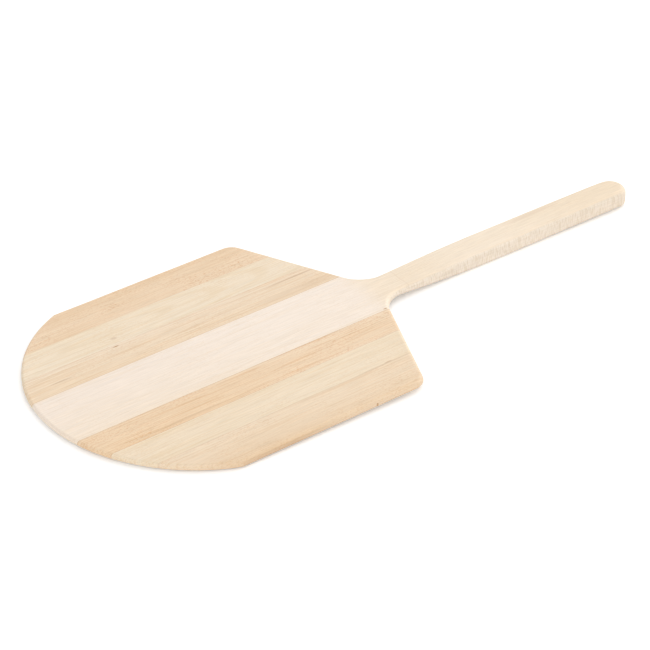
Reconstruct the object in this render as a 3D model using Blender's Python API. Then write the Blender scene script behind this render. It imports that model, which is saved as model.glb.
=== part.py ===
"""Wooden pizza peel: a blade of seven edge-glued staves, the middle stave running on as the handle."""
from math import atan2, cos, pi, radians, sin, sqrt, tan

import bmesh
import bpy
from mathutils import Matrix

# Plan, in metres. A station is a distance from the front lip along the peel.
OVERALL_LENGTH = 0.9196
BLADE_WIDTH = 0.4000
FRONT_ARC_RADIUS = 0.2143
FRONT_CORNER_ROUND = 0.0040
LIP_SHARE_OF_ARC = 0.55
SHOULDER_STATION = 0.4127
SHOULDER_SLOPE = radians(24.0)
SHOULDER_CORNER_ROUND = 0.0221
NECK_FILLET = 0.0418
NECK_WIDTH = 0.0454
END_WIDTH = 0.0415
END_ROUND_LENGTH = 0.0208

# Thickness. Heights are measured from the middle plane of the blade.
BLADE_THICKNESS = 0.0094
HANDLE_THICKNESS = 0.0229
HANDLE_DROP = 0.0028
RAMP_END_STATION = 0.6850

# Sanded edges: run and drop of the top round-over, then run and rise of the one underneath.
LIP_EDGE = (0.0030, 0.0015, 0.0295, 0.0030)
SIDE_EDGE = (0.0034, 0.0030, 0.0020, 0.0020)
SHOULDER_EDGE = (0.0070, 0.0040, 0.0030, 0.0025)
HANDLE_EDGE = (0.0050, 0.0050, 0.0050, 0.0050)
END_EDGE = (0.0100, 0.0080, 0.0040, 0.0040)
EDGE_STEPS = 5

# Facets along each stretch of the outline, lip to handle end.
LIP_STEPS = 17
LIP_FADE_STEPS = 14
FRONT_CORNER_STEPS = 4
SHOULDER_CORNER_STEPS = 8
NECK_STEPS = 10
HALF_RAMP_STEPS = 6
GRIP_STEPS = 8
END_STEPS = 12

# Glue lines, as distances from the centre line on both sides, and the width of one line.
GLUE_LINES = (0.0484, 0.0950, 0.1437)
GLUE_LINE_WIDTH = 0.0003

# Raw hardwood, sanded and unfinished.
WOOD_ROUGHNESS = 0.62
PALE_SAPWOOD = "F3E1CC"
BEIGE_WOOD = "EBD5B4"
TAN_WOOD = "E6C79D"
WARM_TAN_WOOD = "E4C092"

# The neck ends where its fillet meets the side of the handle.
HALF_BLADE = BLADE_WIDTH / 2
HALF_NECK = NECK_WIDTH / 2
SHOULDER_HALF_TURN = (pi / 2 - SHOULDER_SLOPE) / 2
NECK_VERTEX = SHOULDER_STATION + (HALF_BLADE - HALF_NECK) * tan(SHOULDER_SLOPE)
NECK_STATION = NECK_VERTEX + NECK_FILLET * tan(SHOULDER_HALF_TURN)

# The handle hangs below the blade, so the peel lies nose down, on its lip and on the end of the ramp.
BLADE_UNDERSIDE = -BLADE_THICKNESS / 2
HANDLE_UNDERSIDE = -HANDLE_DROP - HANDLE_THICKNESS / 2
REST_TILT = atan2(BLADE_UNDERSIDE - HANDLE_UNDERSIDE, RAMP_END_STATION - LIP_EDGE[2])


def linear_colour(hex_colour):
    """Linear RGBA of an sRGB hex colour."""
    channels = [int(hex_colour[i:i + 2], 16) / 255 for i in (0, 2, 4)]
    linear = [c / 12.92 if c <= 0.04045 else ((c + 0.055) / 1.055) ** 2.4 for c in channels]
    return (*linear, 1.0)


def wood_material(name, hex_colour):
    material = bpy.data.materials.new(name)
    material.use_nodes = True
    shader = material.node_tree.nodes["Principled BSDF"]
    shader.inputs["Base Color"].default_value = linear_colour(hex_colour)
    shader.inputs["Roughness"].default_value = WOOD_ROUGHNESS
    shader.inputs["Metallic"].default_value = 0.0
    return material


def arc(centre, radius, start, end, steps):
    """Points along an arc, without its first point."""
    angles = [start + (end - start) * i / steps for i in range(1, steps + 1)]
    return [(centre[0] + radius * cos(a), centre[1] + radius * sin(a)) for a in angles]


def face_height(station, is_top):
    """Height of the top or under face: flat blade, ramp from the neck, then the full handle."""
    blade = BLADE_THICKNESS / 2 if is_top else BLADE_UNDERSIDE
    handle = HANDLE_THICKNESS / 2 - HANDLE_DROP if is_top else HANDLE_UNDERSIDE
    along = (station - NECK_STATION) / (RAMP_END_STATION - NECK_STATION)
    return blade + (handle - blade) * sin(min(max(along, 0.0), 1.0) * pi / 2)


def handle_half_width(station):
    """Half the handle's width, which narrows evenly from the neck to the end."""
    along = (station - NECK_STATION) / (OVERALL_LENGTH - NECK_STATION)
    return (NECK_WIDTH + (END_WIDTH - NECK_WIDTH) * along) / 2


def handle_run(start, end, steps):
    stations = [start + (end - start) * i / steps for i in range(1, steps + 1)]
    return [(s, handle_half_width(s)) for s in stations]


def half_outline():
    """Right half of the plan, lip to handle end: (station, half width) with the edge at each point."""
    corner_y = HALF_BLADE - FRONT_CORNER_ROUND
    corner_x = FRONT_ARC_RADIUS - sqrt((FRONT_ARC_RADIUS - FRONT_CORNER_ROUND) ** 2 - corner_y ** 2)
    corner_angle = atan2(corner_y, corner_x - FRONT_ARC_RADIUS)
    lip_angle = pi + (corner_angle - pi) * LIP_SHARE_OF_ARC
    front_centre = (FRONT_ARC_RADIUS, 0.0)
    side_end = SHOULDER_STATION - SHOULDER_CORNER_ROUND * tan(SHOULDER_HALF_TURN)
    shoulder_centre = (side_end, HALF_BLADE - SHOULDER_CORNER_ROUND)
    neck_centre = (NECK_STATION, HALF_NECK + NECK_FILLET)
    fillet_start = SHOULDER_SLOPE - pi
    shoulder_end = arc(neck_centre, NECK_FILLET, 0.0, fillet_start, 1)
    mid_ramp = (NECK_STATION + RAMP_END_STATION) / 2
    end_station = OVERALL_LENGTH - END_ROUND_LENGTH
    end_half = handle_half_width(end_station)

    lip = [(0.0, 0.0)] + arc(front_centre, FRONT_ARC_RADIUS, pi, lip_angle, LIP_STEPS)
    lip_fade = arc(front_centre, FRONT_ARC_RADIUS, lip_angle, corner_angle, LIP_FADE_STEPS)
    corner_centre = (corner_x, corner_y)
    front_corner = arc(corner_centre, FRONT_CORNER_ROUND, corner_angle, pi / 2, FRONT_CORNER_STEPS)
    side = [(side_end, HALF_BLADE)]
    shoulder_turn = (pi / 2, SHOULDER_SLOPE)
    shoulder_corner = arc(shoulder_centre, SHOULDER_CORNER_ROUND, *shoulder_turn, SHOULDER_CORNER_STEPS)
    neck = arc(neck_centre, NECK_FILLET, fillet_start, -pi / 2, NECK_STEPS)
    ramp_start = handle_run(NECK_STATION, mid_ramp, HALF_RAMP_STEPS)
    ramp_end = handle_run(mid_ramp, RAMP_END_STATION, HALF_RAMP_STEPS)
    grip = handle_run(RAMP_END_STATION, end_station, GRIP_STEPS)
    quarter_turn = arc((0, 0), 1.0, pi / 2, 0, END_STEPS)
    end = [(end_station + END_ROUND_LENGTH * x, end_half * y) for x, y in quarter_turn]

    stretches = [
        (lip, LIP_EDGE, LIP_EDGE),
        (lip_fade, LIP_EDGE, SIDE_EDGE),
        (front_corner + side, SIDE_EDGE, SIDE_EDGE),
        (shoulder_corner, SIDE_EDGE, SHOULDER_EDGE),
        (shoulder_end + neck, SHOULDER_EDGE, SHOULDER_EDGE),
        (ramp_start, SHOULDER_EDGE, HANDLE_EDGE),
        (ramp_end + grip, HANDLE_EDGE, HANDLE_EDGE),
        (end, HANDLE_EDGE, END_EDGE),
    ]
    outline = []
    for points, first, last in stretches:
        for i, point in enumerate(points, 1):
            blend = i / len(points)
            outline.append((point, tuple(a + (b - a) * blend for a, b in zip(first, last))))
    outline[-1] = ((OVERALL_LENGTH, 0.0), END_EDGE)
    return outline


def inward_normals(points):
    """Unit normals into the plan, from each point's neighbours across the centre line."""
    before = [(points[1][0], -points[1][1])] + points[:-1]
    after = points[1:] + [(points[-2][0], -points[-2][1])]
    normals = []
    for (x0, y0), (x1, y1) in zip(before, after):
        length = sqrt((x1 - x0) ** 2 + (y1 - y0) ** 2)
        normals.append(((y1 - y0) / length, (x0 - x1) / length))
    return normals


def edge_ring(outline, normals, angle, is_top):
    """One closed ring round the peel, at an angle round its edge: 0 at the side, pi / 2 at the face."""
    half = []
    for ((station, width), edge), (nx, ny) in zip(outline, normals):
        run, fall = edge[:2] if is_top else edge[2:]
        inset = run * (1 - cos(angle))
        s = station + nx * inset
        y = width + ny * inset
        towards_middle = -1 if is_top else 1
        z = face_height(s, is_top) + towards_middle * fall * (1 - sin(angle))
        half.append((s - OVERALL_LENGTH / 2, y, z))
    return half + [(x, -y, z) for x, y, z in half[-2:0:-1]]


def lay_down(shape):
    """Tilt the peel as it rests, its footprint centred on the origin and its lowest points at z = 0."""
    tilt = Matrix.Rotation(-REST_TILT, 3, "Y")
    bmesh.ops.rotate(shape, cent=(0, 0, 0), matrix=tilt, verts=shape.verts)
    xs = [v.co.x for v in shape.verts]
    lowest = min(v.co.z for v in shape.verts)
    bmesh.ops.translate(shape, vec=(-(min(xs) + max(xs)) / 2, 0, -lowest), verts=shape.verts)


def peel_blank():
    """The whole peel as one closed mesh, before it is divided along its glue lines."""
    outline = half_outline()
    normals = inward_normals([point for point, _ in outline])
    angles = [pi / 2 * i / EDGE_STEPS for i in range(EDGE_STEPS + 1)]
    levels = [edge_ring(outline, normals, a, False) for a in reversed(angles)]
    levels += [edge_ring(outline, normals, a, True) for a in angles]

    shape = bmesh.new()
    rings = [[shape.verts.new(p) for p in level] for level in levels]
    count = len(rings[0])
    for lower, upper in zip(rings, rings[1:]):
        for i in range(count):
            j = (i + 1) % count
            shape.faces.new((lower[j], lower[i], upper[i], upper[j]))
    last = len(outline) - 1
    for ring in (rings[0], rings[-1]):
        for i in range(last):
            strip = [ring[i], ring[i + 1], ring[-i - 1], ring[-i]]
            shape.faces.new(list(dict.fromkeys(strip)))
    bmesh.ops.recalc_face_normals(shape, faces=shape.faces)
    lay_down(shape)
    mesh = bpy.data.meshes.new("peel_blank")
    shape.to_mesh(mesh)
    shape.free()
    return mesh


def saw_box(name, y_low, y_high):
    """The strip of the glued-up board that one stave fills."""
    shape = bmesh.new()
    bmesh.ops.create_cube(shape, size=1.0)
    bmesh.ops.scale(shape, vec=(2 * OVERALL_LENGTH, y_high - y_low, OVERALL_LENGTH), verts=shape.verts)
    bmesh.ops.translate(shape, vec=(0, (y_low + y_high) / 2, 0), verts=shape.verts)
    mesh = bpy.data.meshes.new(name)
    shape.to_mesh(mesh)
    shape.free()
    box = bpy.data.objects.new(name, mesh)
    box.hide_render = True
    box.display_type = "WIRE"
    bpy.context.scene.collection.objects.link(box)
    return box


def stave(name, blank, y_low, y_high, hex_colour, parent):
    """One stave: the part of the peel between two glue lines, grain along X."""
    mesh = blank.copy()
    mesh.name = name
    mesh.materials.append(wood_material(name + "_wood", hex_colour))
    board = bpy.data.objects.new(name, mesh)
    board.parent = parent
    bpy.context.scene.collection.objects.link(board)
    cut = board.modifiers.new("glue lines", "BOOLEAN")
    cut.operation = "INTERSECT"
    cut.object = saw_box(name + "_strip", y_low, y_high)


def main():
    for old in list(bpy.data.objects):
        bpy.data.objects.remove(old)
    peel = bpy.data.objects.new("pizza_peel", None)
    bpy.context.scene.collection.objects.link(peel)
    blank = peel_blank()
    gap = GLUE_LINE_WIDTH / 2
    inner, middle, outer = GLUE_LINES
    past_edge = BLADE_WIDTH

    stave("handle_stave", blank, gap - inner, inner - gap, PALE_SAPWOOD, peel)
    stave("inner_stave_left", blank, gap - middle, -inner - gap, WARM_TAN_WOOD, peel)
    stave("middle_stave_left", blank, gap - outer, -middle - gap, BEIGE_WOOD, peel)
    stave("outer_stave_left", blank, -past_edge, -outer - gap, TAN_WOOD, peel)
    stave("inner_stave_right", blank, inner + gap, middle - gap, TAN_WOOD, peel)
    stave("middle_stave_right", blank, middle + gap, outer - gap, BEIGE_WOOD, peel)
    stave("outer_stave_right", blank, outer + gap, past_edge, WARM_TAN_WOOD, peel)
    bpy.data.meshes.remove(blank)


main()
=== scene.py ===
"""Wooden pizza peel: seven staves sawn from one shaped blank, in raw sanded beech."""
from functools import partial
from math import atan2, cos, pi, radians, sin, sqrt, tan

import bmesh
import bpy
from mathutils import Matrix, Vector


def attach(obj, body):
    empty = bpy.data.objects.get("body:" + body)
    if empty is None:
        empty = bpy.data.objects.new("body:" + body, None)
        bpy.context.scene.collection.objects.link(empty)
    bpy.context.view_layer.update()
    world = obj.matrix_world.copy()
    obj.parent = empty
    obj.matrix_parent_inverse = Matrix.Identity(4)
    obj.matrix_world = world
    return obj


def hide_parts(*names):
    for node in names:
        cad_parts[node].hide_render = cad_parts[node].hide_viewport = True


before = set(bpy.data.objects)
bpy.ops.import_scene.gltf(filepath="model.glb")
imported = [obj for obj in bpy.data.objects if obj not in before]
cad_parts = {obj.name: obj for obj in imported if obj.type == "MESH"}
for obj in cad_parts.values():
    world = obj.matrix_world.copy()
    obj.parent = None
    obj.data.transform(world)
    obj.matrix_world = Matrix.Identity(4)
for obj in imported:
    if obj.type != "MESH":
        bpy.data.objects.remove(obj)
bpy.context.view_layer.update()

# Plan of the peel, in metres. A station is a distance from the front lip.
LENGTH = 0.9196
HALF_BLADE = 0.2000
FRONT_RADIUS = 0.2143
FRONT_CORNER = 0.0040
SHOULDER_STATION = 0.4127
SHOULDER_SLOPE = radians(24.0)
SHOULDER_CORNER = 0.0221
NECK_FILLET = 0.0418
HALF_NECK = 0.0227
END_RADIUS = 0.0208
NECK_VERTEX = SHOULDER_STATION + (HALF_BLADE - HALF_NECK) * tan(SHOULDER_SLOPE)
SHOULDER_HALF_TURN = (pi / 2 - SHOULDER_SLOPE) / 2
NECK_STATION = NECK_VERTEX + NECK_FILLET * tan(SHOULDER_HALF_TURN)
END_STATION = LENGTH - END_RADIUS

# Heights, from the middle plane of the blade.
BLADE_TOP = 0.0047
BLADE_UNDERSIDE = -0.0047
HANDLE_TOP = 0.00865
HANDLE_UNDERSIDE = -0.01425
RAMP_END = 0.6850
LIP_BEVEL_RUN = 0.0295
LIP_BEVEL_RISE = 0.0030

# Facets along the curves of the plan, along the sanded lip, in the ramp and in each rounded edge.
FRONT_FACETS = 60
FRONT_CORNER_FACETS = 5
SHOULDER_FACETS = 14
NECK_FACETS = 18
END_FACETS = 20
LIP_FACETS = 96
RAMP_FACETS = 20
ROUND_FACETS = 6

# Points closer than this are one point.
TOUCHING = 0.00001

# How it lies: nose down on its lip and the front of its handle.
REST_TILT = atan2(BLADE_UNDERSIDE - HANDLE_UNDERSIDE, RAMP_END - LIP_BEVEL_RUN)
REST_LIFT = 0.01110

# Glue lines, from the centre line outwards.
GLUE_LINES = (0.0484, 0.0950, 0.1437)
HALF_GAP = 0.00003


def deselect():
    if bpy.context.mode != "OBJECT":
        bpy.ops.object.mode_set(mode="OBJECT")
    bpy.ops.object.select_all(action="DESELECT")


def pick(obj):
    """Make one object the only one selected, and active."""
    deselect()
    obj.select_set(True)
    bpy.context.view_layer.objects.active = obj


def edit(obj):
    pick(obj)
    bpy.ops.object.mode_set(mode="EDIT")
    return bmesh.from_edit_mesh(obj.data)


def pick_verts(obj, test):
    """Select the vertices of an edited mesh whose place passes a test."""
    bpy.ops.mesh.select_mode(type="VERT")
    bpy.ops.mesh.select_all(action="DESELECT")
    mesh = bmesh.from_edit_mesh(obj.data)
    found = False
    for vert in mesh.verts:
        if test(vert.co):
            vert.select_set(True)
            found = True
    mesh.select_flush_mode()
    bmesh.update_edit_mesh(obj.data)
    return found


def sweep(centre, turn, steps):
    """Spin what is selected about an upright axis, anticlockwise from above.
    The operator turns the other way."""
    bpy.ops.mesh.spin(steps=steps, angle=-turn, center=(*centre, 0), axis=(0, 0, 1))


def draw_to(start, end):
    step = (end[0] - start[0], end[1] - start[1], 0)
    bpy.ops.mesh.extrude_region_move(TRANSFORM_OT_translate={"value": step})


def finish_with(obj, kind, **settings):
    """Add a modifier and apply it."""
    pick(obj)
    modifier = obj.modifiers.new(kind.lower(), kind)
    for name, value in settings.items():
        setattr(modifier, name, value)
    bpy.ops.object.modifier_apply(modifier=modifier.name)


def on_arc(centre, radius, angle):
    return (centre[0] + radius * cos(angle), centre[1] + radius * sin(angle))


# Points along the blade's straight side, where its round-over changes width.
SIDE_STATIONS = (0.155, 0.185, 0.215, 0.245, 0.275, 0.305, 0.335, 0.365)


def drawn_board():
    """The plan of the peel as one flat face: half drawn from the lip to the end, then mirrored."""
    corner_y = HALF_BLADE - FRONT_CORNER
    corner_x = FRONT_RADIUS - sqrt((FRONT_RADIUS - FRONT_CORNER) ** 2 - corner_y ** 2)
    corner_angle = atan2(corner_y, corner_x - FRONT_RADIUS)
    side_end = SHOULDER_STATION - SHOULDER_CORNER * tan(SHOULDER_HALF_TURN)
    shoulder_centre = (side_end, HALF_BLADE - SHOULDER_CORNER)
    neck_centre = (NECK_STATION, HALF_NECK + NECK_FILLET)
    shoulder_top = on_arc(shoulder_centre, SHOULDER_CORNER, SHOULDER_SLOPE)
    shoulder_foot = on_arc(neck_centre, NECK_FILLET, SHOULDER_SLOPE - pi)

    deselect()
    bpy.ops.mesh.primitive_plane_add(size=FRONT_CORNER)
    board = bpy.context.object
    bpy.ops.object.mode_set(mode="EDIT")
    bpy.ops.mesh.merge(type="CENTER")
    sweep((FRONT_RADIUS, 0), corner_angle - pi, FRONT_FACETS)
    sweep((corner_x, corner_y), pi / 2 - corner_angle, FRONT_CORNER_FACETS)
    side_points = [(x, HALF_BLADE) for x in (corner_x, *SIDE_STATIONS, side_end)]
    for start, end in zip(side_points, side_points[1:]):
        draw_to(start, end)
    sweep(shoulder_centre, SHOULDER_SLOPE - pi / 2, SHOULDER_FACETS)
    draw_to(shoulder_top, shoulder_foot)
    sweep(neck_centre, pi / 2 - SHOULDER_SLOPE, NECK_FACETS)
    draw_to((NECK_STATION, HALF_NECK), (END_STATION, END_RADIUS))
    sweep((END_STATION, 0), -pi / 2, END_FACETS)
    finish_with(board, "MIRROR", use_axis=(False, True, False), merge_threshold=0.0001)
    edit(board)
    bpy.ops.mesh.select_all(action="SELECT")
    bpy.ops.mesh.edge_face_add()
    return board


def cut_across(stations):
    """Saw lines straight across the board, so that it can change height there."""
    for station in stations:
        bpy.ops.mesh.select_all(action="SELECT")
        bpy.ops.mesh.bisect(plane_co=(station, 0, 0), plane_no=(1, 0, 0))


def ramp_height(station, blade, handle):
    """Height of a face that eases from the blade to the full handle."""
    along = (station - NECK_STATION) / (RAMP_END - NECK_STATION)
    return blade + (handle - blade) * sin(min(max(along, 0.0), 1.0) * pi / 2)


def raise_handle(board):
    """Move each line across the handle up or down to the ramp, on both faces."""
    stations = sorted({round(v.co.x, 5) for v in bmesh.from_edit_mesh(board.data).verts})
    for station in stations:
        if station <= NECK_STATION:
            continue
        for blade, handle in ((BLADE_TOP, HANDLE_TOP), (BLADE_UNDERSIDE, HANDLE_UNDERSIDE)):
            pick_verts(board, lambda co: abs(co.x - station) < TOUCHING and abs(co.z - blade) < TOUCHING)
            lift = ramp_height(station, blade, handle) - blade
            bpy.ops.transform.translate(value=(0, 0, lift))


# The sanding under the lip: where it turns about, how far to each side, and what its wedge has to spare.
SANDING_CENTRE = 0.2746
SANDING_HALF_TURN = radians(80)
SANDING_SPARE = 0.02


def sanding_wedge():
    """What is sanded off under the lip: a thin wedge swept round the front, gone where the sides begin."""
    reach = LIP_BEVEL_RUN + SANDING_SPARE
    rise = reach * LIP_BEVEL_RISE / LIP_BEVEL_RUN
    deselect()
    bpy.ops.mesh.primitive_plane_add(size=SANDING_SPARE)
    wedge = bpy.context.object
    bpy.ops.object.mode_set(mode="EDIT")
    bpy.ops.mesh.merge(type="CENTER")
    bpy.ops.transform.translate(value=(LIP_BEVEL_RUN, 0, BLADE_UNDERSIDE))
    for step in ((-reach, 0, rise), (0, 0, -rise - SANDING_SPARE), (reach, 0, 0)):
        bpy.ops.mesh.extrude_region_move(TRANSFORM_OT_translate={"value": step})
    bpy.ops.mesh.select_all(action="SELECT")
    bpy.ops.mesh.edge_face_add()
    bpy.ops.mesh.select_all(action="SELECT")
    middle = (SANDING_CENTRE, 0, 0)
    bpy.ops.transform.rotate(value=SANDING_HALF_TURN, orient_axis="Z", center_override=middle)
    sweep((SANDING_CENTRE, 0), 2 * SANDING_HALF_TURN, LIP_FACETS)
    bpy.ops.mesh.select_all(action="SELECT")
    bpy.ops.mesh.normals_make_consistent(inside=False)
    return wedge


def between(station, table):
    """Straight-line value from a table of (station, value)."""
    for (s0, v0), (s1, v1) in zip(table, table[1:]):
        if station <= s1:
            return v0 + (v1 - v0) * (station - s0) / (s1 - s0)
    return table[-1][1]


# Radius of the sanded round-over along the top and under edges, by station.
# It changes only along straight runs: on a curve, two widths would not meet.
TOP_ROUND = ((0, .0034), (.155, .0034), (.20, .0044), (.30, .0050), (.365, .0062), (.52, .0062),
             (.60, .0050), (.80, .0050), (.89, .0090), (.92, .0090))
UNDER_ROUND = ((0, .0015), (.155, .0015), (.20, .0022), (.365, .0028), (.52, .0028),
               (.60, .0050), (.80, .0050), (.89, .0022), (.92, .0022))
WIDEST_ROUND = 0.0090

# Lines across the grip, so that its round-over can change width there.
GRIP_STATIONS = [0.74, 0.80, 0.82, 0.84, 0.86, 0.88]

# An edge is rounded over above the first angle, and shaded as a curve below the second.
SHARP_EDGE = radians(40)
CURVED_EDGE = radians(35)


def round_edges(board):
    """Round over every sharp edge of the shaped board, each to the radius its station calls for."""
    edit(board)
    bpy.ops.mesh.select_mode(type="EDGE")
    bpy.ops.mesh.select_all(action="DESELECT")
    bpy.ops.mesh.edges_select_sharp(sharpness=SHARP_EDGE)
    mesh = bmesh.from_edit_mesh(board.data)
    layers = mesh.edges.layers.float
    weight = layers.get("bevel_weight_edge") or layers.new("bevel_weight_edge")
    for edge in mesh.edges:
        if edge.select:
            middle = (edge.verts[0].co + edge.verts[1].co) / 2
            wall_middle = (ramp_height(middle.x, BLADE_TOP, HANDLE_TOP)
                           + ramp_height(middle.x, BLADE_UNDERSIDE, HANDLE_UNDERSIDE)) / 2
            table = TOP_ROUND if middle.z > wall_middle else UNDER_ROUND
            edge[weight] = between(middle.x, table) / WIDEST_ROUND
    bmesh.update_edit_mesh(board.data)
    finish_with(board, "BEVEL", limit_method="WEIGHT", width=WIDEST_ROUND, segments=ROUND_FACETS,
                use_clamp_overlap=False)


def shaped_blank():
    """The whole peel before it is divided: board, ramps, thinned lip, sanded edges."""
    board = drawn_board()
    ramp = RAMP_END - NECK_STATION
    ramp_stations = [NECK_STATION + ramp * i / RAMP_FACETS for i in range(RAMP_FACETS + 1)]
    cut_across(ramp_stations + GRIP_STATIONS)
    bpy.ops.mesh.select_all(action="SELECT")
    bpy.ops.transform.translate(value=(0, 0, BLADE_UNDERSIDE))
    bpy.ops.mesh.extrude_region_move(TRANSFORM_OT_translate={"value": (0, 0, BLADE_TOP - BLADE_UNDERSIDE)})
    bpy.ops.mesh.select_all(action="SELECT")
    bpy.ops.mesh.normals_make_consistent(inside=False)
    raise_handle(board)
    wedge = sanding_wedge()
    finish_with(board, "BOOLEAN", object=wedge, operation="DIFFERENCE", solver="EXACT")
    bpy.data.objects.remove(wedge)
    round_edges(board)
    return board


def saw_stave(blank, name, y_low, y_high):
    """Cut one stave out of a copy of the blank, along its two glue lines, and lay it down."""
    stave = blank.copy()
    stave.data = blank.data.copy()
    stave.name = name
    stave.data.name = name
    bpy.context.scene.collection.objects.link(stave)
    edit(stave)
    for y, outwards in ((y_low, -1), (y_high, 1)):
        bpy.ops.mesh.select_all(action="SELECT")
        bpy.ops.mesh.bisect(plane_co=(0, y, 0), plane_no=(0, outwards, 0), use_fill=True, clear_outer=True)
    bpy.ops.mesh.select_all(action="SELECT")
    bpy.ops.mesh.remove_doubles(threshold=TOUCHING)
    bpy.ops.mesh.normals_make_consistent(inside=False)
    pick(stave)
    stave.location = (-LENGTH / 2 * cos(REST_TILT), 0, REST_LIFT - LENGTH / 2 * sin(REST_TILT))
    stave.rotation_euler = (0, -REST_TILT, 0)
    bpy.ops.object.transform_apply(location=True, rotation=True, scale=True)
    bpy.ops.object.shade_smooth_by_angle(angle=CURVED_EDGE)
    finish_with(stave, "WEIGHTED_NORMAL", keep_sharp=True, weight=100)
    return stave


def linear(hex_colour):
    """Linear RGBA of an sRGB hex colour."""
    channels = [int(hex_colour[i:i + 2], 16) / 255 for i in (0, 2, 4)]
    return (*[c / 12.92 if c <= 0.04045 else ((c + 0.055) / 1.055) ** 2.4 for c in channels], 1.0)


def add(tree, kind, sockets=(), out=0, **settings):
    """Add one node: its settings, then a value or a link for each socket.
    Gives back one output, or a slice of them."""
    node = tree.nodes.new("ShaderNode" + kind)
    for name, value in settings.items():
        setattr(node, name, value)
    for name, value in dict(sockets).items():
        if isinstance(value, bpy.types.NodeSocket):
            tree.links.new(value, node.inputs[name])
        else:
            node.inputs[name].default_value = value
    return node.outputs[out]


EVERY = slice(None)
EASED = dict(interpolation_type="SMOOTHSTEP")
MM = 0.001
FRONT_X = -LENGTH / 2

# Tones of marks and of painted shade, of dark and of pale joints, of the painted light that makes sideways
# faces paler, and of the ticks on them.
MARK_AND_SHADE = "B27C3E"
JOINT = "B98653"
GLUE = "FFF6E6"
PAINTED_SIDE_LIGHT = "F4E8DB"
TICK = "DEC9AC"

# The figure of the wood, as cells of noise: length along, width across and depth through the board
# in mm, detail, and how many times a stave's seed shifts each axis.
FIGURE = {
    # Slow wander of the grain.
    "wander": (250, 40, 40, 2.0, (1, 2, 0)),
    # Tone bands 15 mm wide that run most of the board's length.
    "bands": (500, 15, 20, 2.0, (3, 1, 0)),
    # Growth lines, 0.5 mm of late wood in each ring, drawn 1.8 mm wide so that they show.
    "growth": (110, 1.8, 4, 2.0, (1, 5, 0)),
    # Fibres, really 0.1 mm wide, drawn 1.2 mm wide so that they show.
    "fibres": (30, 1.2, 1.2, 3.0, (1, 0, 1)),
    # Ray flecks, really 3 mm by 0.4 mm, drawn 3.4 mm by 1.4 mm so that they show.
    "rays": (3.4, 1.4, 1.4, 1.5, (0, 1, 1)),
    # Patches of the board where the flecks come and go.
    "patches": (80, 25, 25, 1.0, (7, 0, 0)),
    # Rays edge on, on sides sawn square to the rings: upright ticks, really 0.3 mm wide, drawn 1.4 mm wide.
    "ticks": (1.4, 9, 9, 2.0, (1, 1, 0)),
}

# Where in its noise each pattern starts to show, and where it shows fully.
SHOWS = {"bands": (0.42, 0.72), "growth": (0.50, 0.64), "rays": (0.52, 0.64), "patches": (0.35, 0.65),
         "ticks": (0.44, 0.62), "fibres": (0.30, 0.70)}
LEAST_FLECKS = 0.3
FIBRE_LIGHT = (0.945, 1.055)
FIBRE_ROUGHNESS = (0.62, 0.50)
FIBRE_HEIGHT = 0.3 * MM

# How far the grain's wander moves an arch and a scribed line, and, in half widths, a mark.
ARCH_WANDER = 12 * MM
SCRIBE_WANDER = 4 * MM
MARK_WANDER = 1.25

# Heights of the wave where an arch's ring begins and is full, and how far off its middle a thin line
# begins and is full.
ARCH_WAVE = (0.1, 1.0)
LINE_EDGE = 1.4 * MM
LINE_CORE = 0.2 * MM

# How squarely a face has to look sideways, to be painted paler and carry ticks, or along the board, to
# count as end grain.
SIDE_FACING = (0.55, 0.90)
END_FACING = (0.60, 0.98)
END_SHARE = 0.12


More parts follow.
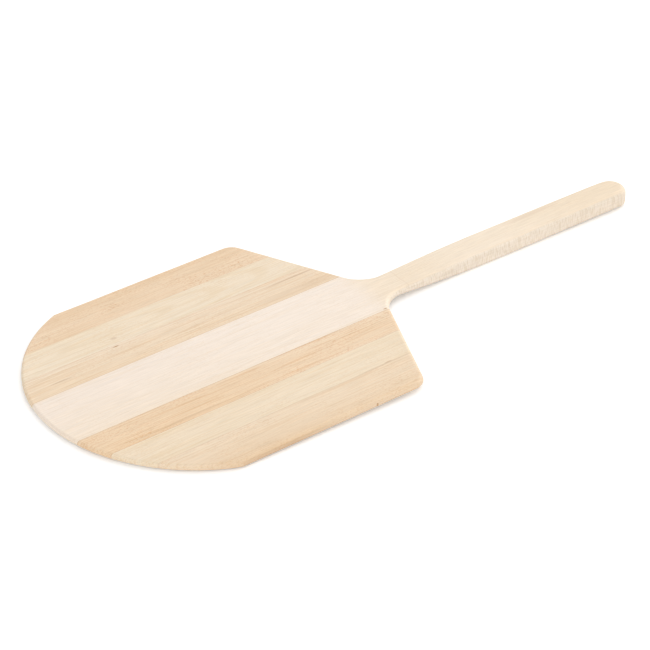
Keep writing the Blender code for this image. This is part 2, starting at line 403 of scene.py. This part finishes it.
def belt_sanded_beech(name, grain):
    """Flat-sawn beech, planed and belt-sanded along the grain, left raw: matt and pale, with broken
    growth lines along the board, short darker ray flecks, duller end grain and a thin dark or pale line
    at each glued joint."""
    material = bpy.data.materials.new(name)
    material.use_nodes = True
    tree = material.node_tree
    put = partial(add, tree)
    shader = tree.nodes["Principled BSDF"].inputs
    shader["Specular IOR Level"].default_value = 0.5
    shader["IOR"].default_value = 1.5

    place = put("TexCoord", out=3)
    x, y, _ = put("SeparateXYZ", {0: place}, out=EVERY)
    facing = put("SeparateXYZ", {0: put("NewGeometry", out=1)}, out=EVERY)
    end_on, side_on, _ = [put("Math", {0: axis}, operation="ABSOLUTE") for axis in facing]

    figure = {}
    for pattern, (long, wide, deep, detail, shift) in FIGURE.items():
        cells = put("Mapping", {"Vector": place, "Location": [times * grain["seed"] for times in shift],
                                "Scale": [1 / (size * MM) for size in (long, wide, deep)]})
        figure[pattern] = put("TexNoise", {"Vector": cells, "Scale": 1.0, "Detail": detail})
    shown = {pattern: {"Value": figure[pattern], 1: least, 2: most}
             for pattern, (least, most) in SHOWS.items()}

    # Each stain is a share from 0 to 1 and a tone, laid on in this order.
    stains = []

    # Tones that come in along the board and stay on to its end:
    # (station where it begins, station where it is full, tone, share).
    for start, end, tone, share in grain.get("stretches", ()):
        stretch = put("MapRange", {"Value": x, 1: FRONT_X + start, 2: FRONT_X + end, 4: share}, **EASED)
        stains.append((stretch, tone))

    # Tone bands, growth lines and flecks.
    bands = put("MapRange", {**shown["bands"], 4: grain["bands"]}, **EASED)
    growth = put("MapRange", {**shown["growth"], 4: grain["lines"]}, **EASED)
    rays = put("MapRange", {**shown["rays"], 4: grain["flecks"]}, **EASED)
    patches = put("MapRange", {**shown["patches"], 3: LEAST_FLECKS, 4: 1.0}, **EASED)
    flecks = put("Math", {0: rays, 1: patches}, operation="MULTIPLY")
    stains += [(bands, grain["dark"]), (growth, grain["dark"]), (flecks, grain["ray"])]

    # Nested arches, where the saw ran flat past the heart:
    # (station, y, pull along the grain, ring width, share).
    for station, heart_y, pull, ring, share in grain.get("arches", ()):
        heart = put("Mapping", {"Vector": place, "Location": (-(FRONT_X + station) * pull, -heart_y, 0),
                                "Scale": (pull, 1, 0)})
        far = put("VectorMath", {0: heart}, out=1, operation="LENGTH")
        swing = put("Math", {0: figure["wander"], 1: ARCH_WANDER, 2: far}, operation="MULTIPLY_ADD")
        turns = put("Math", {0: swing, 1: 2 * pi / ring}, operation="MULTIPLY")
        wave = put("Math", {0: turns}, operation="SINE")
        trough, crest = ARCH_WAVE
        rings = put("MapRange", {"Value": wave, 1: trough, 2: crest, 4: share}, **EASED)
        stains.append((rings, grain["dark"]))

    # Mineral streaks and pin knots, bent a little with the grain, and one band of painted shade down the
    # near side wall of the outer left stave:
    # (station, y, half length, half width, share).
    bend = put("MapRange", {"Value": figure["wander"], 3: -MARK_WANDER, 4: MARK_WANDER})
    sideways = put("CombineXYZ", {1: bend})
    for station, mark_y, half_long, half_wide, share in grain["marks_and_shade"]:
        mark = put("Mapping", {"Vector": place, "Scale": (1 / half_long, 1 / half_wide, 0),
                               "Location": (-(FRONT_X + station) / half_long, -mark_y / half_wide, 0)})
        bent = put("VectorMath", {0: mark, 1: sideways}, operation="ADD")
        reach = put("VectorMath", {0: bent, 1: bent}, out=1, operation="DOT_PRODUCT")
        stains.append((put("MapRange", {"Value": reach, 1: 1.0, 2: 0.0, 4: share}, **EASED), MARK_AND_SHADE))

    # Thin lines: the one across the handle, where its taper starts, and the joints, dark or pale over
    # the last millimetre at the glue. The noise is about a half on average, so the line across the handle
    # wanders to both sides of its station.
    drift = put("Math", {0: figure["wander"], 1: SCRIBE_WANDER, 2: x}, operation="MULTIPLY_ADD")
    lines = [(drift, FRONT_X + station + SCRIBE_WANDER / 2, share, MARK_AND_SHADE)
             for station, share in grain.get("scribes", ())]
    lines += [(y, joint_y, share, tone) for joint_y, share, tone in grain["joints"]]
    for along, where, share, tone in lines:
        aside = put("Math", {0: along, 1: where}, operation="SUBTRACT")
        off = put("Math", {0: aside}, operation="ABSOLUTE")
        line = put("MapRange", {"Value": off, 1: LINE_EDGE, 2: LINE_CORE, 4: share}, **EASED)
        stains.append((line, tone))

    # Sideways faces get a paler tone, painted light that lifts their shade, and ticks of rays seen edge on;
    # end grain is a shade darker.
    slant, square = SIDE_FACING
    side_light_and_ticks = put("MapRange", {"Value": side_on, 1: slant, 2: square, 4: grain.get("ticks", 0.0)}, **EASED)
    ticks = put("MapRange", shown["ticks"], **EASED)
    stains += [(side_light_and_ticks, PAINTED_SIDE_LIGHT), (put("Math", {0: side_light_and_ticks, 1: ticks}, operation="MULTIPLY"), TICK)]
    slant, square = END_FACING
    end_grain = put("MapRange", {"Value": end_on, 1: slant, 2: square, 4: END_SHARE}, **EASED)
    stains.append((end_grain, grain["dark"]))

    low, high = grain["span"]
    across = put("MapRange", {"Value": y, 1: low, 2: high})
    low_tone, high_tone = grain["tones"]
    colour = put("Mix", {0: across, 6: linear(low_tone), 7: linear(high_tone)}, out=2, data_type="RGBA")
    for share, tone in stains:
        colour = put("Mix", {0: share, 6: colour, 7: linear(tone)}, out=2, data_type="RGBA")

    # Sanded fibres: each a little lighter or darker, smoother or rougher, and just proud of the surface.
    darkest, lightest = FIBRE_LIGHT
    light = put("MapRange", {**shown["fibres"], 3: darkest, 4: lightest})
    colour = put("Mix", {0: 1.0, 6: colour, 7: light}, out=2, data_type="RGBA", blend_type="MULTIPLY")
    tree.links.new(colour, shader["Base Color"])
    roughest, smoothest = FIBRE_ROUGHNESS
    rough = put("MapRange", {**shown["fibres"], 3: roughest, 4: smoothest})
    tree.links.new(rough, shader["Roughness"])
    bump = put("Bump", {"Strength": 0.10, "Distance": FIBRE_HEIGHT, "Height": figure["fibres"]})
    tree.links.new(bump, shader["Normal"])
    return material


# Each stave: its two edges and the tone at each, the tones and shares of its figure, the seed of its
# noise, and the marks, painted shade and lines that it carries.
INNER, MIDDLE, OUTER = GLUE_LINES
STAVES = {
    "handle_stave": dict(
        span=(-INNER, INNER), tones=("F5E4D0", "F5E6D8"), dark="EDD6B8", ray="DDBB90", seed=1.7,
        stretches=((0.08, 0.36, "FAECDE", 0.6), (0.46, 0.50, "F4E1C6", 0.7), (0.530, 0.536, "F4E2CA", 0.8),
                   (0.56, 0.62, "F7E7D2", 0.6), (0.66, 0.90, "EFDABD", 0.7)),
        # ticks sets the share of the sideways faces that carry ticks and the painted light that makes them
        # paler.
        bands=0.20, lines=0.28, flecks=0.14, ticks=0.55, scribes=((0.533, 0.09),),
        marks_and_shade=((0.4736, -0.0465, 0.004, 0.0016, 0.70), (0.765, 0.012, 0.060, 0.0060, 0.12)),
        joints=((-INNER, 0.30, GLUE), (INNER, 0.30, GLUE))),
    "inner_stave_left": dict(
        span=(-MIDDLE, -INNER), tones=("EFD2AE", "F0D7B8"), dark="E0B583", ray="D9A36C", seed=4.1,
        stretches=((0.15, 0.36, "F4DDC1", 0.6),), bands=0.20, lines=0.56, flecks=0.52,
        marks_and_shade=((0.13, -0.0885, 0.090, 0.0030, 0.20),),
        joints=((-MIDDLE, 0.28, JOINT), (-INNER, 0.40, JOINT))),
    "middle_stave_left": dict(
        span=(-OUTER, -MIDDLE), tones=("EFDCC1", "F1DEC4"), dark="E3C598", ray="DFB987", seed=6.3,
        stretches=((0.12, 0.36, "F3E1C7", 0.6),), bands=0.20, lines=0.38, flecks=0.26,
        marks_and_shade=((0.401, -0.1418, 0.008, 0.0012, 0.45), (0.395, -0.1430, 0.050, 0.0010, 0.25)),
        joints=((-OUTER, 0.18, JOINT), (-MIDDLE, 0.30, GLUE))),
    "outer_stave_left": dict(
        span=(-HALF_BLADE, -OUTER), tones=("E9CEAD", "F0DBC0"), dark="DFBA8C", ray="DAAF7E", seed=8.9,
        stretches=((0.18, 0.36, "F2DCC0", 0.5),), bands=0.18, lines=0.34, flecks=0.36,
        # The long second mark is painted shade: a darker band down the near side wall, from station 0.04 to
        # 0.34, where that wall lies in shade.
        marks_and_shade=((0.3375, -0.2000, 0.002, 0.0006, 0.70), (0.190, -0.2008, 0.150, 0.0024, 0.32)),
        joints=((-OUTER, 0.15, JOINT),)),
    "inner_stave_right": dict(
        span=(INNER, MIDDLE), tones=("EFD7B9", "F1DEC6"), dark="DFB989", ray="DBAF7D", seed=11.2,
        bands=0.20, lines=0.44, flecks=0.28,
        marks_and_shade=((0.425, 0.0850, 0.058, 0.0017, 0.40), (0.062, 0.0680, 0.022, 0.0016, 0.35),
               (0.300, 0.0700, 0.070, 0.0012, 0.18), (0.157, 0.0905, 0.006, 0.0015, 0.80),
               (0.420, 0.0560, 0.090, 0.0100, 0.13)),
        joints=((INNER, 0.34, JOINT), (MIDDLE, 0.16, JOINT))),
    "middle_stave_right": dict(
        span=(MIDDLE, OUTER), tones=("F1E0C8", "F1DFC6"), dark="E3C699", ray="DFBA88", seed=13.4,
        arches=((0.14, 0.121, 0.11, 0.0085, 0.24),), bands=0.16, lines=0.32, flecks=0.26,
        marks_and_shade=((0.165, 0.1090, 0.006, 0.0030, 0.28),), joints=((MIDDLE, 0.20, GLUE), (OUTER, 0.10, GLUE))),
    "outer_stave_right": dict(
        span=(OUTER, HALF_BLADE), tones=("F0D8BB", "EBCFAE"), dark="DEB685", ray="D8A672", seed=15.8,
        bands=0.22, lines=0.32, flecks=0.58, marks_and_shade=(), joints=((OUTER, 0.14, JOINT),)),
}

# A saw cut outside the board, for the outer staves' own edges.
past = HALF_BLADE + MM
blank = shaped_blank()
for name, grain in STAVES.items():
    low, high = grain["span"]
    stave = saw_stave(blank, name + "_beech", -past if low == -HALF_BLADE else low + HALF_GAP,
                      past if high == HALF_BLADE else high - HALF_GAP)
    stave.data.materials.clear()
    stave.data.materials.append(belt_sanded_beech("belt_sanded_beech_" + name, grain))
    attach(stave, "root")
    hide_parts(name)
bpy.data.objects.remove(blank)

# Camera, set up over the blade's own plane and then tilted with it.
CAMERA_TURN = radians(-37.9534)
CAMERA_LIFT = radians(32.9606)
CAMERA_REACH = 3.7307
CAMERA_AIM = Vector((-0.06498, -0.02360, 0))
FOCAL_PIXELS = 2983.2
IMAGE_PIXELS = 650
SENSOR = 36.0

lay_down = Matrix.Translation((0, 0, REST_LIFT)) @ Matrix.Rotation(-REST_TILT, 4, "Y")
back = Vector((sin(CAMERA_TURN) * cos(CAMERA_LIFT), -cos(CAMERA_TURN) * cos(CAMERA_LIFT), sin(CAMERA_LIFT)))
right = Vector((cos(CAMERA_TURN), sin(CAMERA_TURN), 0))
up = back.cross(right)
eye = CAMERA_AIM + CAMERA_REACH * back
camera_data = bpy.data.cameras.new("camera")
camera_data.sensor_width = SENSOR
camera_data.lens = FOCAL_PIXELS / IMAGE_PIXELS * SENSOR
camera = bpy.data.objects.new("camera", camera_data)
bpy.context.scene.collection.objects.link(camera)
axes = Matrix((right, up, back)).transposed().to_4x4()
camera.matrix_world = lay_down @ Matrix.Translation(eye) @ axes
bpy.context.scene.camera = camera

# White paper under even studio light. Rays that the eye sees, straight, mirrored or through glass, get a
# full white behind.
WHITE = linear("FFFFFF")
DOME = 0.52
PAPER_GLOW = 0.20
FLOOR_SIZE = 40
SEEN_RAYS = ("Is Camera Ray", "Is Glossy Ray", "Is Transmission Ray")

deselect()
bpy.ops.mesh.primitive_plane_add(size=FLOOR_SIZE)
floor = bpy.context.object
floor.name = "floor"
paper = bpy.data.materials.new("uncoated_white_paper")
paper.use_nodes = True
sheet = paper.node_tree.nodes["Principled BSDF"].inputs
sheet["Base Color"].default_value = linear("FCFCFC")
sheet["Roughness"].default_value = 1.0
sheet["Specular IOR Level"].default_value = 0.0
sheet["Emission Color"].default_value = WHITE
floor.data.materials.append(paper)

world = bpy.data.worlds.new("studio")
bpy.context.scene.world = world
world.use_nodes = True
sky = world.node_tree.nodes["Background"].inputs
sky["Color"].default_value = WHITE

# What is set by the ray: (tree, socket, strength as light, strength as seen).
for tree, socket, as_light, as_seen in ((paper.node_tree, sheet["Emission Strength"], 0.0, PAPER_GLOW),
                                        (world.node_tree, sky["Strength"], DOME, 1.0)):
    seen = 0.0
    for ray in SEEN_RAYS:
        seen = add(tree, "Math", {0: seen, 1: add(tree, "LightPath", out=ray)}, operation="MAXIMUM")
    tree.links.new(add(tree, "MapRange", {"Value": seen, 3: as_light, 4: as_seen}), socket)

# Lamps: (name, direction it comes from, strength, width of the softbox as an angle).
LAMPS = (("back_softbox", (0.60, 0.20, 0.80), 0.93, 60),
         ("camera_side_fill", (-0.60, -0.66, 0.48), 1.15, 70),
         ("rim_strip", (0.97, 0.05, 0.26), 0.75, 30))
for lamp_name, source, strength, width in LAMPS:
    lamp_data = bpy.data.lights.new(lamp_name, "SUN")
    lamp_data.energy = strength
    lamp_data.angle = radians(width)
    lamp = bpy.data.objects.new(lamp_name, lamp_data)
    bpy.context.scene.collection.objects.link(lamp)
    lamp.rotation_euler = (-Vector(source)).to_track_quat("-Z", "Y").to_euler()

bpy.context.scene.view_settings.view_transform = "Standard"
